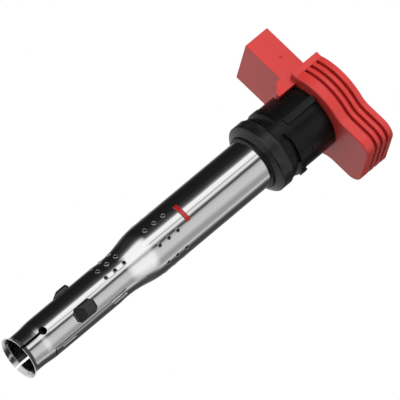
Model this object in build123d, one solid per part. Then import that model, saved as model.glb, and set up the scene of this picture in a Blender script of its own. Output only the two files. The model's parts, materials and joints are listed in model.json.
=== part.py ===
from build123d import *
from math import cos, radians, sin, sqrt
import os

# Coil-on-plug ignition coil, millimetres. +Z runs along the coil axis from the plug end to the
# head. The origin is the centre of the lip at the plug end. -X is the connector side, +X the
# tail of the head. Bearings are degrees about +Z, counted from +X.

# ---- clearances -------------------------------------------------------------------------
SLIP = 0.05                 # between pieces that are slid together and bonded
LOOSE = 0.25                # between the sleeve and the pieces it only surrounds
MOVING = 0.30               # round the sliding contact

# ---- steel sleeve -----------------------------------------------------------------------
SLEEVE_WALL = 0.45
UPPER_R = 12.00
LOWER_R = 9.70
WAIST_INSET = 0.22          # waist radius under the lower tube's
NECK_INSET = 0.54           # neck radius under the lower tube's
LIP_FLARE = 1.20            # lip radius over the neck's
WAIST_R = LOWER_R - WAIST_INSET
NECK_R = LOWER_R - NECK_INSET
LIP_R = NECK_R + LIP_FLARE
LIP_HEIGHT = 2.2
LIP_STEP = 0.77             # level where the lip's rolled edge turns in
LIP_BEND_R = 1.2
FLARE_BEND_R = 40.0         # bends at the two ends of the fingers' flare
WAIST_BEND_R = 20.0
TAPER_BEND_R = 45.0
NECK_LENGTH = 5.4
FINGER_FLARE = 5.4
LOWER_LENGTH = 39.0
WAIST_BLEND = 2.5
WAIST_LENGTH = 7.1
TAPER_LENGTH = 12.1
UPPER_LENGTH = 66.0
NECK_START = LIP_HEIGHT
NECK_END = NECK_START + NECK_LENGTH
LOWER_START = NECK_END + FINGER_FLARE
LOWER_END = LOWER_START + LOWER_LENGTH
WAIST_START = LOWER_END + WAIST_BLEND
TAPER_START = WAIST_START + WAIST_LENGTH
TAPER_END = TAPER_START + TAPER_LENGTH
COLLAR_BOTTOM = TAPER_END + UPPER_LENGTH
SLEEVE_GRIP = 15.7          # length of sleeve held inside the barrel
SLEEVE_TOP = COLLAR_BOTTOM + SLEEVE_GRIP

SLIT_BEARINGS = (90, 270)
SLIT_WIDTH = 1.15
SLIT_HOLE_R = 1.87
SLIT_HOLE_BELOW = 0.4       # hole centre below the start of the lower tube

WINDOW_BEARINGS = (60, 180, 300)
WINDOW_RISE = 14.5          # window bottom above the start of the lower tube
WINDOW_HEIGHT = 11.7
WINDOW_HALF_WIDTH = 3.55
WINDOW_CORNER = 1.9

HOLE_R = 0.85
HOLE_PITCH = 5.4
HOLE_ROWS = 3
UPPER_HOLE_COLUMNS = 8
UPPER_HOLE_FIRST = 22.5
UPPER_HOLE_RISE = 4.1       # first row above the taper
LOWER_HOLE_BEARINGS = (210, 240, 270, 90, 120, 150)
LOWER_HOLE_TOP = 0.6        # top row below the taper

RING_SLOT_BEARINGS = (90, 270)
RING_SLOT_RISE = 21.7       # slot centre above the taper
RING_SLOT_HEIGHT = 2.3
RING_SLOT_HALF_ANGLE = 22.0

SEAM_BEARING = -29.5
SEAM_WIDTH = 0.5
SEAM_TOP_DROP = 6.3         # seam end below the taper
SEAM_JOG_DROP = 15.6        # sideways step of the seam below the taper
SEAM_JOG_ANGLE = 2.4
SEAM_HOOK_ANGLE = 44.0
BEAD_BEARING = -16.0
BEAD_WIDTH = 0.6
BEAD_PROUD = 0.25
BEAD_LENGTH = 7.4
BEAD_RISES = (4.2, 34.6)    # bead bottoms above the start of the lower tube

# ---- rubber plug boot -------------------------------------------------------------------
BOOT_SETBACK = 4.0          # boot mouth above the start of the lower tube
INSULATOR_R = 5.2
BOOT_LEAD_IN = 1.0
TERMINAL_R = 3.4
TERMINAL_LENGTH = 6.0
LUG_PROUD = 1.8             # lug height over the lower tube
LUG_GAP = 0.25              # lug to window edge
LUG_RAMP = 4.2
LUG_TOP_HALF_WIDTH = 1.8
LUG_SIDE_DROP = 1.05        # fall of the lug's sloping sides
LUG_CHAMFER = 1.0
LUG_ROUND = 0.5

# ---- high-voltage end -------------------------------------------------------------------
CASE_RISE = 2.3             # coil case shoulder above the taper
TOWER_LENGTH = 11.0
TOWER_WALL = 2.45
RESISTOR_R = 3.1
TOWER_R = RESISTOR_R + SLIP + TOWER_WALL
RESISTOR_LENGTH = 9.6
RESISTOR_CAP = 1.2
RESISTOR_PROUD = 1.0        # resistor stands below the tower
LEDGE_WIDTH = 0.75          # ledge that the sliding contact rests on
SPRING_CHAMBER_R = TERMINAL_R + LEDGE_WIDTH
SPRING_CHAMBER_LENGTH = 13.0
SPRING_WIRE_R = 0.30
SPRING_TURNS = 6
SPRING_INSET = 0.2          # spring's mean radius inside the resistor's
SPRING_R = RESISTOR_R - SPRING_INSET
CONTACT_FLANGE = 1.6
CONTACT_TIP_GAP = 0.9
CONTACT_TIP_R = TERMINAL_R - CONTACT_TIP_GAP
CONTACT_TIP_LENGTH = 3.4
CONTACT_BOSS_GAP = 0.4
CONTACT_BOSS_R = SPRING_R - SPRING_WIRE_R - CONTACT_BOSS_GAP
CONTACT_BOSS_LENGTH = 1.6
CONTACT_REST_GAP = 0.05

# ---- coil -------------------------------------------------------------------------------
CASE_WALL = 1.6
CASE_FLANGE_OVER = 0.8      # case flange radius over the sleeve's
CASE_FLANGE_R = UPPER_R + CASE_FLANGE_OVER
CASE_FLANGE = 2.0
RETURN_WALL = 0.6
RETURN_SLIT = 0.8
PRIMARY_WIRE = 0.9
PRIMARY_BOBBIN_WALL = 0.75
SECONDARY_WIRE = 1.5
SECONDARY_BOBBIN_WALL = 1.1
BOBBIN_CHEEK = 1.2
CHAMBERS = 9
CHAMBER_WEB = 0.7
CORE_LAYERS = 9
CUSHION = 2.0
CASE_FLOOR = 3.0
HV_CUP = 2.4
CASE_HEADROOM = 4.0         # above the bobbins, inside the case

# ---- red ring under the sleeve ----------------------------------------------------------
RING_GROOVE = 1.0
RING_LENGTH = 4.0
RING_PROUD = 0.20

# ---- black barrel -----------------------------------------------------------------------
BARREL_BORE_GAP = 0.1       # round the case flange
BARREL_WALL = 3.1
BARREL_NECK_WALL = 1.2
BARREL_BORE_R = CASE_FLANGE_R + BARREL_BORE_GAP
BARREL_R = BARREL_BORE_R + BARREL_WALL
BARREL_NECK_R = UPPER_R + BARREL_NECK_WALL
SEAL_SEAT_LENGTH = 9.3
FLANGE_SLIM = 0.1
FLANGE_R = BARREL_R - FLANGE_SLIM
FLANGE_LENGTH = 1.9
RECESS_DEPTH = 1.2
RECESS_R = BARREL_R - RECESS_DEPTH
RECESS_LENGTH = 1.8
LOCK_RING_PROUD = 0.4
LOCK_RING_R = BARREL_R + LOCK_RING_PROUD
LOCK_RING_LENGTH = 3.3
RING_BEVEL = 1.2
BARREL_LENGTH = 35.3
CARRIER_SEAT = SLEEVE_TOP + 0.6
SPIGOT_WALL = 1.3
SPIGOT_R = BARREL_BORE_R + SPIGOT_WALL
KEY_WIDTH = 3.1
KEY_FOOT = 1.0
KEY_TOP = 2.5
KEY_LENGTH = 16.6
FINE_GROOVE = 0.35
FINE_GROOVE_DROP = 13.2
NOTCH_BEARING = -45.0       # notch under the lock ring and fine groove above it
NOTCH_HALF_ANGLE = 24.0
PAD_HALF_ANGLE = 11.0
PAD_PROUD = 0.5
TAB_BEARING = 10.0
TAB_WIDTH = 2.8
TAB_PROUD = 0.9
HEAD_BOTTOM = COLLAR_BOTTOM + BARREL_LENGTH

# ---- rubber well seal -------------------------------------------------------------------
SEAL_PROUD = 0.8            # seal radius over the barrel's
SEAL_R = BARREL_R + SEAL_PROUD
SEAL_CONE = 1.6
SEAL_BEVEL = 0.6
SEAL_START = 1.2            # seal foot above the end of the barrel
SEAL_GAP = 0.1              # seal to the flange above it

# ---- red head ---------------------------------------------------------------------------
BELLY_OVERHANG = 6.0        # head beyond the barrel
BELLY_R = BARREL_R + BELLY_OVERHANG
TAIL_HALF_WIDTH = 16.2
TAIL_END = 33.4
TAIL_CORNER = 6.5
TAIL_BLEND = 9.0
SHOULDER_HALF_WIDTH = 18.5
SHOULDER_END = 14.75
HEAD_HEIGHT = 15.8
HEAD_TOP = HEAD_BOTTOM + HEAD_HEIGHT
GROOVES = 3
GROOVE_HEIGHT = 1.6
GROOVE_DEPTH = 2.4
GROOVE_PITCH = 3.4
GROOVE_FIRST = 5.6          # first groove's middle above the underside
GROOVE_STOP = 11.6
EDGE_ROUND = 0.8
HEAD_WALL = 4.4
HEAD_FLOOR = 2.4
COVER_THICK = 1.8
COVER_LAND = 2.0
SADDLE_DEPTH = 10.0
SADDLE_WEB = 0.8            # saddle beyond the barrel
SADDLE_LAP = 5.0            # how far the saddle reaches round the barrel
SADDLE_REACH = BARREL_R + SADDLE_WEB
SADDLE_INNER = BARREL_R - SADDLE_LAP
SADDLE_CUT = 4.0

# ---- connector --------------------------------------------------------------------------
PLUG_END = 38.0
SHROUD_HALF_WIDTH = 14.7
SHROUD_DROP = 3.7           # shroud underside below the head underside
SHROUD_HEIGHT = 13.1
SHROUD_WALL = 1.7
SHROUD_DEPTH = 16.0
PIN_COUNT = 4
PIN_PITCH = 5.0
PIN_WIDTH = 2.0
PIN_THICK = 0.8
PIN_REACH = 8.5
PIN_RISE = 2.95             # pin middle above the head underside
PIN_TURN = 8.2              # where each pin turns up, from the axis
KEY_RIB = 1.0
DIMPLE_R = 0.7
DIMPLE_DEPTH = 0.4
DIMPLE_FROM_END = 14.0
DIMPLE_DROP = 5.7           # below the top of the shroud

# ---- electronics ------------------------------------------------------------------------
BOARD_THICK = 1.6
BOARD_RISE = 6.0            # board underside above the head underside
BOARD_GAP = 0.4
POST_R = 1.6
POST_GAP = 0.8              # round the barrel's spigot
POST_BEARINGS = (110, -110)
TAIL_POST_INSET = 9.4       # tail posts from the end of the tail
TAIL_POST_HALF_SPACING = 9.0
SPREADER_SIZE = (16.0, 20.0, 1.2)
SPREADER_X = 20.0
SWITCH_SIZE = (10.0, 9.0, 3.2)
LEG_COUNT = 3
LEG_WIDTH = 0.9
LEG_THICK = 0.5
LEG_PITCH = 2.54
CHIP_SIZE = (3.2, 1.8, 1.2)
CHIP_PLACES = ((7.0, 0.0), (2.0, 0.0), (-3.0, 0.0), (-3.0, 3.0), (-3.0, -3.0))
LEAD_BEARINGS = (48, -48, 99)
LEAD_SIZE = (0.8, 1.6)
LEAD_TOP = 1.0              # lead ends above the board
CARRIER_GAP = 0.5
CARRIER_R = BARREL_BORE_R - CARRIER_GAP
CARRIER_THICK = 3.0
CARRIER_RISE = 3.5
POTTING_COVER = 2.0         # potting over the board

# ---- levels and radii that follow from the sizes above ----------------------------------
CASE_BOTTOM = TAPER_END + CASE_RISE
TOWER_END = CASE_BOTTOM - TOWER_LENGTH
RESISTOR_END = TOWER_END - RESISTOR_PROUD
LEDGE = TOWER_END - SPRING_CHAMBER_LENGTH
INSULATOR_STOP = LEDGE - TERMINAL_LENGTH
BOOT_BOTTOM = LOWER_START + BOOT_SETBACK
BOOT_R = LOWER_R - SLEEVE_WALL - LOOSE
BOOT_WAIST_R = WAIST_R - SLEEVE_WALL - LOOSE
WINDOW_BOTTOM = LOWER_START + WINDOW_RISE
CONTACT_REST = LEDGE + CONTACT_REST_GAP
SPRING_BOTTOM = CONTACT_REST + CONTACT_FLANGE
CASE_R = UPPER_R - SLEEVE_WALL - LOOSE
CASE_BORE_R = CASE_R - CASE_WALL
RETURN_R = CASE_BORE_R - SLIP
PRIMARY_R = RETURN_R - RETURN_WALL - SLIP
PRIMARY_CORE_R = PRIMARY_R - PRIMARY_WIRE
PRIMARY_BORE_R = PRIMARY_CORE_R - PRIMARY_BOBBIN_WALL
SECONDARY_R = PRIMARY_BORE_R - SLIP
SECONDARY_CORE_R = SECONDARY_R - SECONDARY_WIRE
SECONDARY_BORE_R = SECONDARY_CORE_R - SECONDARY_BOBBIN_WALL
CORE_R = SECONDARY_BORE_R - SLIP
CASE_INSIDE = CASE_BOTTOM + CASE_FLOOR
BOBBIN_BOTTOM = CASE_INSIDE + HV_CUP
CASE_TOP = CARRIER_SEAT + CASE_FLANGE
BOBBIN_TOP = CASE_TOP - CASE_HEADROOM
RING_LEVEL = TAPER_END + RING_SLOT_RISE
FLANGE_BOTTOM = COLLAR_BOTTOM + SEAL_SEAT_LENGTH
FLANGE_TOP = FLANGE_BOTTOM + FLANGE_LENGTH
RECESS_TOP = FLANGE_TOP + RECESS_LENGTH
LOCK_RING_BOTTOM = RECESS_TOP + RING_BEVEL
LOCK_RING_TOP = LOCK_RING_BOTTOM + LOCK_RING_LENGTH
FLOOR_TOP = HEAD_BOTTOM + HEAD_FLOOR
COVER_BOTTOM = HEAD_TOP - COVER_THICK
SHROUD_BOTTOM = HEAD_BOTTOM - SHROUD_DROP
SHROUD_TOP = SHROUD_BOTTOM + SHROUD_HEIGHT
SHROUD_BACK = -PLUG_END + SHROUD_DEPTH
PIN_LEVEL = HEAD_BOTTOM + PIN_RISE
BOARD_BOTTOM = HEAD_BOTTOM + BOARD_RISE
BOARD_TOP = BOARD_BOTTOM + BOARD_THICK
CARRIER_BOTTOM = CASE_TOP + CARRIER_RISE
LEAD_END = BOARD_TOP + LEAD_TOP
PLAY = 1.0                  # how far cutting tools run past the faces they cut


# ---- small helpers ------------------------------------------------------------------------
def rod(radius, bottom, top):
    """Round bar on the coil axis between two levels."""
    bar = Cylinder(radius, top - bottom, align=(Align.CENTER, Align.CENTER, Align.MIN))
    return Pos(0, 0, bottom) * bar


def tube(outer_r, inner_r, bottom, top):
    """Round tube on the coil axis between two levels."""
    return rod(outer_r, bottom, top) - rod(inner_r, bottom - PLAY, top + PLAY)


def block(low_x, high_x, low_y, high_y, bottom, top):
    """Box between two corners."""
    centre = Pos((low_x + high_x) / 2, (low_y + high_y) / 2, (bottom + top) / 2)
    return centre * Box(high_x - low_x, high_y - low_y, top - bottom)


def turned(points, sweep=360):
    """Profile of (radius, level) points turned about the coil axis."""
    return revolve(Plane.XZ * make_face(Polyline(*points, close=True)), Axis.Z, sweep)


def sector(outer_r, inner_r, bottom, top, bearing, half_angle):
    """Part of a tube centred on a bearing."""
    profile = ((inner_r, bottom), (outer_r, bottom), (outer_r, top), (inner_r, top))
    return Rot(0, 0, bearing - half_angle) * turned(profile, 2 * half_angle)


def radial_hole(radius, level, bearing, reach):
    """Drill that points outwards from the axis."""
    drill = Cylinder(radius, reach, align=(Align.CENTER, Align.CENTER, Align.MIN))
    return Rot(0, 0, bearing) * Pos(0, 0, level) * Rot(0, 90, 0) * drill


def radial_prism(outline, bearing, reach):
    """Outline of (sideways, level) points pushed outwards from the axis."""
    face = Plane.YZ * make_face(Polyline(*outline, close=True))
    return Rot(0, 0, bearing) * extrude(face, reach)


def save(shape, node):
    """Write one node."""
    shape.label = node
    export_step(shape, "parts/" + node + ".step")


# ---- plug end and sleeve --------------------------------------------------------------------
def sleeve_path(inset):
    """Side line of the sleeve from the lip to the top, drawn in by the inset, and its bends."""
    corners = [
        (LIP_R, 0),
        ((LIP_R + NECK_R) / 2, LIP_STEP),
        (NECK_R, NECK_START),
        (NECK_R, NECK_END),
        (LOWER_R, LOWER_START),
        (LOWER_R, LOWER_END),
        (WAIST_R, WAIST_START),
        (WAIST_R, TAPER_START),
        (UPPER_R, TAPER_END),
        (UPPER_R, SLEEVE_TOP),
    ]
    bends = (LIP_BEND_R, LIP_BEND_R, FLARE_BEND_R, FLARE_BEND_R, WAIST_BEND_R, WAIST_BEND_R,
             TAPER_BEND_R, TAPER_BEND_R)
    return FilletPolyline(*[(radius - inset, level) for radius, level in corners], radius=bends)


def window_outline(inset):
    """Eight-sided window outline, drawn smaller by the inset."""
    side = WINDOW_HALF_WIDTH - inset
    bottom = WINDOW_BOTTOM + inset
    top = WINDOW_BOTTOM + WINDOW_HEIGHT - inset
    corner = WINDOW_CORNER
    return [
        (-side, bottom + corner),
        (-side + corner, bottom),
        (side - corner, bottom),
        (side, bottom + corner),
        (side, top - corner),
        (side - corner, top),
        (-side + corner, top),
        (-side, top - corner),
    ]


def keyhole_slit(bearing):
    """Slit from the lip that ends in a round hole."""
    level = LOWER_START - SLIT_HOLE_BELOW
    half = SLIT_WIDTH / 2
    slit = block(0, LIP_R + PLAY, -half, half, -PLAY, level)
    return Rot(0, 0, bearing) * slit + radial_hole(SLIT_HOLE_R, level, bearing, LIP_R + PLAY)


def hole_drills():
    """Every small round hole in the sleeve."""
    reach = UPPER_R + PLAY
    drills = []
    for row in range(HOLE_ROWS):
        upper_level = TAPER_END + UPPER_HOLE_RISE + row * HOLE_PITCH
        lower_level = TAPER_START - LOWER_HOLE_TOP - row * HOLE_PITCH
        for column in range(UPPER_HOLE_COLUMNS):
            bearing = UPPER_HOLE_FIRST + column * 360 / UPPER_HOLE_COLUMNS
            drills.append(radial_hole(HOLE_R, upper_level, bearing, reach))
        for bearing in LOWER_HOLE_BEARINGS:
            drills.append(radial_hole(HOLE_R, lower_level, bearing, reach))
    return drills


def seam_cutters():
    """Rolled seam: two straight runs, the step between them and the hook at its foot."""
    foot = LOWER_START
    jog = TAPER_START - SEAM_JOG_DROP
    top = TAPER_START - SEAM_TOP_DROP
    half = SEAM_WIDTH / 2
    inner = LOWER_R - 2 * SLEEVE_WALL
    outer = LOWER_R + PLAY
    upper_bearing = SEAM_BEARING - SEAM_JOG_ANGLE
    runs = [
        Rot(0, 0, SEAM_BEARING) * block(inner, outer, -half, half, foot, jog),
        Rot(0, 0, upper_bearing) * block(inner, outer, -half, half, jog, top),
    ]
    step_middle = SEAM_BEARING - SEAM_JOG_ANGLE / 2
    step = sector(outer, inner, jog - half, jog + half, step_middle, SEAM_JOG_ANGLE / 2)
    hook_middle = SEAM_BEARING + SEAM_HOOK_ANGLE / 2
    hook = sector(outer, inner, foot - half, foot + half, hook_middle, SEAM_HOOK_ANGLE / 2)
    return runs + [step, hook]


def seam_beads():
    """Two short raised beads beside the seam."""
    half = BEAD_WIDTH / 2
    root = LOWER_R - SLEEVE_WALL / 2
    beads = []
    for rise in BEAD_RISES:
        bottom = LOWER_START + rise
        bead = block(root, LOWER_R + BEAD_PROUD, -half, half, bottom, bottom + BEAD_LENGTH)
        beads.append(Rot(0, 0, BEAD_BEARING) * bead)
    return beads


def outer_sleeve():
    """Thin polished steel sleeve with its slits, windows, holes, slots and seam."""
    outside = sleeve_path(0)
    inside = sleeve_path(SLEEVE_WALL)
    ends = [Line(outside @ end, inside @ end) for end in (0, 1)]
    sleeve = revolve(Plane.XZ * make_face([outside, inside] + ends), Axis.Z)
    for bead in seam_beads():
        sleeve += bead
    cutters = [keyhole_slit(bearing) for bearing in SLIT_BEARINGS]
    cutters += [radial_prism(window_outline(0), b, UPPER_R) for b in WINDOW_BEARINGS]
    cutters += hole_drills()
    half = RING_SLOT_HEIGHT / 2
    for bearing in RING_SLOT_BEARINGS:
        cutters.append(
            sector(UPPER_R + PLAY, UPPER_R - PLAY, RING_LEVEL - half, RING_LEVEL + half,
                   bearing, RING_SLOT_HALF_ANGLE)
        )
    cutters += seam_cutters()
    return sleeve - cutters


def boot_lug(bearing):
    """Rubber lug that snaps out through one window of the sleeve."""
    outline = window_outline(LUG_GAP)
    top_r = LOWER_R + LUG_PROUD
    bottom = WINDOW_BOTTOM + LUG_GAP
    top = WINDOW_BOTTOM + WINDOW_HEIGHT - LUG_GAP
    ramp_foot = bottom + WINDOW_CORNER / 2
    lug = radial_prism(outline, 0, top_r)
    base_r = LOWER_R - SLEEVE_WALL
    profile = (
        (0, bottom),
        (base_r, bottom),
        (base_r, ramp_foot),
        (top_r, ramp_foot + LUG_RAMP),
        (top_r, top - LUG_CHAMFER),
        (top_r - LUG_CHAMFER, top),
        (0, top),
    )
    side_face = Plane.XZ * make_face(Polyline(*profile, close=True))
    lug &= extrude(side_face, WINDOW_HALF_WIDTH, both=True)
    side = WINDOW_HALF_WIDTH - LUG_GAP
    roof = (
        (0, -side),
        (top_r - LUG_SIDE_DROP, -side),
        (top_r, -LUG_TOP_HALF_WIDTH),
        (top_r, LUG_TOP_HALF_WIDTH),
        (top_r - LUG_SIDE_DROP, side),
        (0, side),
    )
    roof_face = make_face(Polyline(*roof, close=True))
    lug &= Pos(0, 0, bottom) * extrude(roof_face, top - bottom)
    proud = lug.edges().filter_by(lambda edge: edge.center().X > LOWER_R + LUG_ROUND)
    lug = fillet(proud, LUG_ROUND)
    lug -= rod(BOOT_R - PLAY, bottom - PLAY, top + PLAY)
    return Rot(0, 0, bearing) * lug


def plug_boot():
    """Rubber boot: plug bore, terminal bore, spring chamber and the socket for the tower."""
    boot = turned(
        (
            (INSULATOR_R + BOOT_LEAD_IN, BOOT_BOTTOM),
            (BOOT_R, BOOT_BOTTOM),
            (BOOT_R, LOWER_END),
            (BOOT_WAIST_R, WAIST_START),
            (BOOT_WAIST_R, CASE_BOTTOM),
            (TOWER_R, CASE_BOTTOM),
            (TOWER_R, TOWER_END),
            (SPRING_CHAMBER_R, TOWER_END),
            (SPRING_CHAMBER_R, LEDGE),
            (TERMINAL_R, LEDGE),
            (TERMINAL_R, INSULATOR_STOP),
            (INSULATOR_R, INSULATOR_STOP),
            (INSULATOR_R, BOOT_BOTTOM + BOOT_LEAD_IN),
        )
    )
    for bearing in WINDOW_BEARINGS:
        boot += boot_lug(bearing)
    return boot


def plug_contact():
    """Sliding brass contact that the spring presses onto the plug's terminal."""
    tip = rod(CONTACT_TIP_R, CONTACT_REST - CONTACT_TIP_LENGTH, CONTACT_REST)
    flange = rod(SPRING_CHAMBER_R - MOVING, CONTACT_REST, SPRING_BOTTOM)
    boss = rod(CONTACT_BOSS_R, SPRING_BOTTOM, SPRING_BOTTOM + CONTACT_BOSS_LENGTH)
    return tip + flange + boss


def contact_spring():
    """Compression spring between the sliding contact and the resistor."""
    low = SPRING_BOTTOM + SPRING_WIRE_R
    high = RESISTOR_END - SPRING_WIRE_R
    path = Helix((high - low) / SPRING_TURNS, high - low, SPRING_R)
    section = (path ^ 0) * Circle(SPRING_WIRE_R)
    return Pos(0, 0, low) * sweep(section, path)


def suppression_resistor():
    """Ceramic body of the suppression resistor."""
    return rod(RESISTOR_R, RESISTOR_END + RESISTOR_CAP,
               RESISTOR_END + RESISTOR_CAP + RESISTOR_LENGTH)


def resistor_caps():
    """Two metal end caps of the resistor."""
    low = RESISTOR_END
    high = RESISTOR_END + RESISTOR_CAP + RESISTOR_LENGTH
    return [rod(RESISTOR_R, level, level + RESISTOR_CAP) for level in (low, high)]


# ---- coil -----------------------------------------------------------------------------------
def coil_case():
    """Plastic case of the coil: flanged tube, floor and the high-voltage tower."""
    bore = RESISTOR_R + SLIP
    case = turned(
        (
            (bore, TOWER_END),
            (TOWER_R, TOWER_END),
            (TOWER_R, CASE_BOTTOM),
            (CASE_R, CASE_BOTTOM),
            (CASE_R, CARRIER_SEAT),
            (CASE_FLANGE_R, CARRIER_SEAT),
            (CASE_FLANGE_R, CASE_TOP),
            (CASE_BORE_R, CASE_TOP),
            (CASE_BORE_R, CASE_INSIDE),
            (bore, CASE_INSIDE),
        )
    )
    half = RING_LENGTH / 2
    return case - tube(CASE_R + PLAY, CASE_R - RING_GROOVE, RING_LEVEL - half, RING_LEVEL + half)


def damping_ring():
    """Red silicone ring in the case's groove, with a raised pad in each slot of the sleeve."""
    half = RING_LENGTH / 2
    root_r = CASE_R - RING_GROOVE
    ring = tube(UPPER_R - SLEEVE_WALL, root_r, RING_LEVEL - half, RING_LEVEL + half)
    pad_half = RING_SLOT_HEIGHT / 2 - SLIP
    for bearing in RING_SLOT_BEARINGS:
        ring += sector(UPPER_R + RING_PROUD, root_r, RING_LEVEL - pad_half,
                       RING_LEVEL + pad_half, bearing, RING_SLOT_HALF_ANGLE - SLIP)
    return ring


def hv_terminal():
    """Brass cup that joins the secondary winding to the resistor."""
    resistor_top = RESISTOR_END + 2 * RESISTOR_CAP + RESISTOR_LENGTH
    stem = rod(RESISTOR_R - LOOSE, resistor_top, CASE_INSIDE)
    return stem + rod(SECONDARY_CORE_R, CASE_INSIDE, BOBBIN_BOTTOM)


def flux_return():
    """Slit steel tube that closes the magnetic path round the windings."""
    shell = tube(RETURN_R, RETURN_R - RETURN_WALL, BOBBIN_BOTTOM, BOBBIN_TOP)
    half = RETURN_SLIT / 2
    return shell - block(0, RETURN_R + PLAY, -half, half, BOBBIN_BOTTOM - PLAY, BOBBIN_TOP + PLAY)


def primary_bobbin():
    """Thin bobbin of the primary winding, with a cheek at each end."""
    body = tube(PRIMARY_CORE_R, PRIMARY_BORE_R, BOBBIN_BOTTOM, BOBBIN_TOP)
    body += tube(PRIMARY_R, PRIMARY_BORE_R, BOBBIN_BOTTOM, BOBBIN_BOTTOM + BOBBIN_CHEEK)
    return body + tube(PRIMARY_R, PRIMARY_BORE_R, BOBBIN_TOP - BOBBIN_CHEEK, BOBBIN_TOP)


def primary_winding():
    """Primary winding between the cheeks."""
    return tube(PRIMARY_R, PRIMARY_CORE_R, BOBBIN_BOTTOM + BOBBIN_CHEEK, BOBBIN_TOP - BOBBIN_CHEEK)


def chamber_levels():
    """Bottom and top of each chamber of the secondary bobbin."""
    pitch = (BOBBIN_TOP - BOBBIN_BOTTOM - CHAMBER_WEB) / CHAMBERS
    bottoms = [BOBBIN_BOTTOM + CHAMBER_WEB + index * pitch for index in range(CHAMBERS)]
    return [(bottom, bottom + pitch - CHAMBER_WEB) for bottom in bottoms]


def secondary_bobbin():
    """Bobbin with a web between every two chambers."""
    body = tube(SECONDARY_R, SECONDARY_BORE_R, BOBBIN_BOTTOM, BOBBIN_TOP)
    for bottom, top in chamber_levels():
        body -= tube(SECONDARY_R + PLAY, SECONDARY_CORE_R, bottom, top)
    return body


def secondary_winding():
    """Fine-wire secondary winding, one section in each chamber."""
    return [tube(SECONDARY_R - SLIP, SECONDARY_CORE_R, low, high) for low, high in chamber_levels()]


def core_laminations():
    """Stack of steel strips whose widths follow the bobbin's round bore."""
    thick = 2 * CORE_R / (CORE_LAYERS + 1)
    bottom = BOBBIN_BOTTOM + CUSHION
    strips = []
    for layer in range(CORE_LAYERS):
        middle = (layer - (CORE_LAYERS - 1) / 2) * thick
        outer_edge = abs(middle) + thick / 2
        half = sqrt(CORE_R ** 2 - outer_edge ** 2)
        strips.append(block(-half, half, middle - thick / 2, middle + thick / 2,
                            bottom, BOBBIN_TOP - CUSHION))
    return strips


def core_cushions():
    """Rubber cushions at the two ends of the core."""
    return [
        rod(CORE_R, BOBBIN_BOTTOM, BOBBIN_BOTTOM + CUSHION),
        rod(CORE_R, BOBBIN_TOP - CUSHION, BOBBIN_TOP),
    ]


# ---- barrel and seal ------------------------------------------------------------------------
def key_rib():
    """Locating rib that grows towards the head."""
    top = HEAD_BOTTOM - PLAY
    bottom = top - KEY_LENGTH
    side = (
        (BARREL_R - PLAY, bottom),
        (BARREL_R + KEY_FOOT, bottom),
        (BARREL_R + KEY_TOP, top),
        (BARREL_R - PLAY, top),
    )
    face = Plane.XZ * make_face(Polyline(*side, close=True))
    return Rot(0, 0, -90) * extrude(face, KEY_WIDTH / 2, both=True)


def barrel_marks():
    """Pads above the seal and the side tab on the lock ring."""
    pad = sector(FLANGE_R + PAD_PROUD, FLANGE_R - PLAY, FLANGE_BOTTOM, LOCK_RING_BOTTOM,
                 -90, PAD_HALF_ANGLE)
    half = TAB_WIDTH / 2
    tab = block(LOCK_RING_R - PLAY, LOCK_RING_R + TAB_PROUD, -half, half,
                LOCK_RING_BOTTOM, LOCK_RING_TOP)
    return [pad, Rot(0, 0, TAB_BEARING) * tab]


def barrel_housing():
    """Black barrel: holds the sleeve and the coil case, carries the seal and the head."""
    barrel = turned(
        (
            (UPPER_R, COLLAR_BOTTOM),
            (BARREL_NECK_R - FINE_GROOVE, COLLAR_BOTTOM),
            (BARREL_NECK_R, COLLAR_BOTTOM + FINE_GROOVE),
            (BARREL_NECK_R, FLANGE_BOTTOM),
            (FLANGE_R, FLANGE_BOTTOM),
            (FLANGE_R, FLANGE_TOP),
            (RECESS_R, FLANGE_TOP),
            (RECESS_R, RECESS_TOP),
            (LOCK_RING_R, LOCK_RING_BOTTOM),
            (LOCK_RING_R, LOCK_RING_TOP),
            (BARREL_R, LOCK_RING_TOP),
            (BARREL_R, HEAD_BOTTOM),
            (SPIGOT_R, HEAD_BOTTOM),
            (SPIGOT_R, FLOOR_TOP),
            (BARREL_BORE_R, FLOOR_TOP),
            (BARREL_BORE_R, CARRIER_SEAT),
            (CASE_R + SLIP, CARRIER_SEAT),
            (CASE_R + SLIP, SLEEVE_TOP),
            (UPPER_R, SLEEVE_TOP),
        )
    )
    barrel += key_rib()
    for mark in barrel_marks():
        barrel += mark
    level = HEAD_BOTTOM - FINE_GROOVE_DROP
    fine = sector(BARREL_R + PLAY, BARREL_R - FINE_GROOVE, level - FINE_GROOVE / 2,
                  level + FINE_GROOVE / 2, NOTCH_BEARING, NOTCH_HALF_ANGLE)
    notch = sector(LOCK_RING_R + PLAY, RECESS_R, RECESS_TOP, LOCK_RING_BOTTOM + FINE_GROOVE,
                   NOTCH_BEARING, NOTCH_HALF_ANGLE)
    return barrel - fine - notch


def well_seal():
    """Rubber seal that closes the spark-plug well."""
    foot = COLLAR_BOTTOM + SEAL_START
    top = FLANGE_BOTTOM - SEAL_GAP
    return turned(
        (
            (BARREL_NECK_R, foot),
            (SEAL_R - SEAL_BEVEL, foot + SEAL_CONE),
            (SEAL_R, foot + SEAL_CONE + SEAL_BEVEL),
            (SEAL_R, top - SEAL_BEVEL),
            (SEAL_R - SEAL_BEVEL, top),
            (BARREL_NECK_R, top),
        )
    )


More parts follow.
